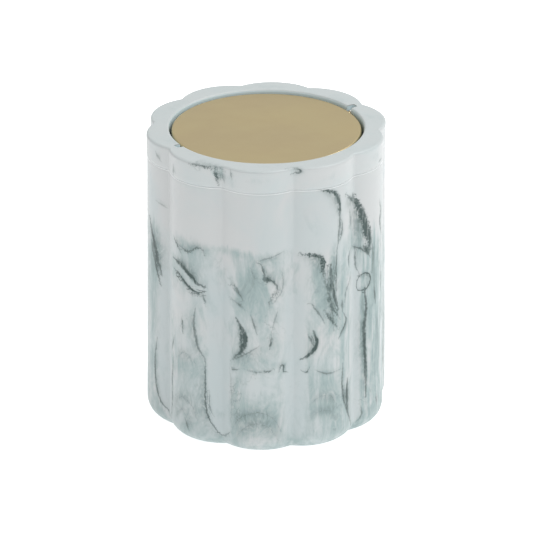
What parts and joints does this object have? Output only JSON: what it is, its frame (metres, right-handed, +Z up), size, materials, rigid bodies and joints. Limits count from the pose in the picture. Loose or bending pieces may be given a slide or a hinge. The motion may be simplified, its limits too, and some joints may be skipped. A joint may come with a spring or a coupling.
{
  "type": "swing-lid vanity jar",
  "caption": "Fluted marble-effect resin jar with a lift-off fluted collar and a round satin gold lid that swings on pins in open grooves.",
  "frame": {"origin": "on the surface the jar stands on, under the centre of the jar", "axes": "+Z up along the jar's axis, +X along the lid's pivot pins, +Y square to them; the side with -Y and -X faces the picture's camera"},
  "size_m": [0.1188, 0.1222, 0.153],
  "materials": {
    "jar_resin": "cast resin, light grey with teal-grey clouds and dark veins, soft polish",
    "collar_resin": "cast resin, nearly plain light grey with a few fine veins, soft polish",
    "satin_gold": "satin champagne gold",
    "gold_pin": "turned steel, gold plated",
    "zinc_steel": "zinc-plated steel",
    "moulding": "black moulding, fine spark texture",
    "nylon": "natural nylon",
    "silicone": "translucent white silicone, matte"
  },
  "bodies": {
    "jar": {"jar_body": "jar_resin", "foot_pad_1": "silicone", "foot_pad_2": "silicone", "foot_pad_3": "silicone", "foot_pad_4": "silicone"},
    "collar": {"collar_ring": "collar_resin", "collar_seal": "silicone"},
    "lid_bushes": {"pivot_bush_left": "nylon", "pivot_bush_right": "nylon"},
    "lid": {"lid_plate": "satin_gold", "lid_carrier": "moulding", "pivot_pin_left": "gold_pin", "pivot_pin_right": "gold_pin", "pin_clip_left": "moulding", "pin_clip_right": "moulding", "clip_screw_left_front": "zinc_steel", "clip_screw_left_back": "zinc_steel", "clip_screw_right_front": "zinc_steel", "clip_screw_right_back": "zinc_steel", "counterweight": "zinc_steel", "weight_screw_left": "zinc_steel", "weight_screw_right": "zinc_steel"}
  },
  "joints": [
    {"name": "collar_lift", "type": "slide", "parent": "jar", "child": "collar", "axis": [0, 0, 1], "range_m": [0, 0.05]},
    {"name": "lid_lift", "type": "slide", "parent": "collar", "child": "lid_bushes", "axis": [0, 0, 1], "range_m": [0, 0.06]},
    {"name": "lid_swing", "type": "hinge", "parent": "lid_bushes", "child": "lid", "pos_m": [0, 0, 0.1492], "axis": [1, 0, 0], "continuous": true}
  ]
}
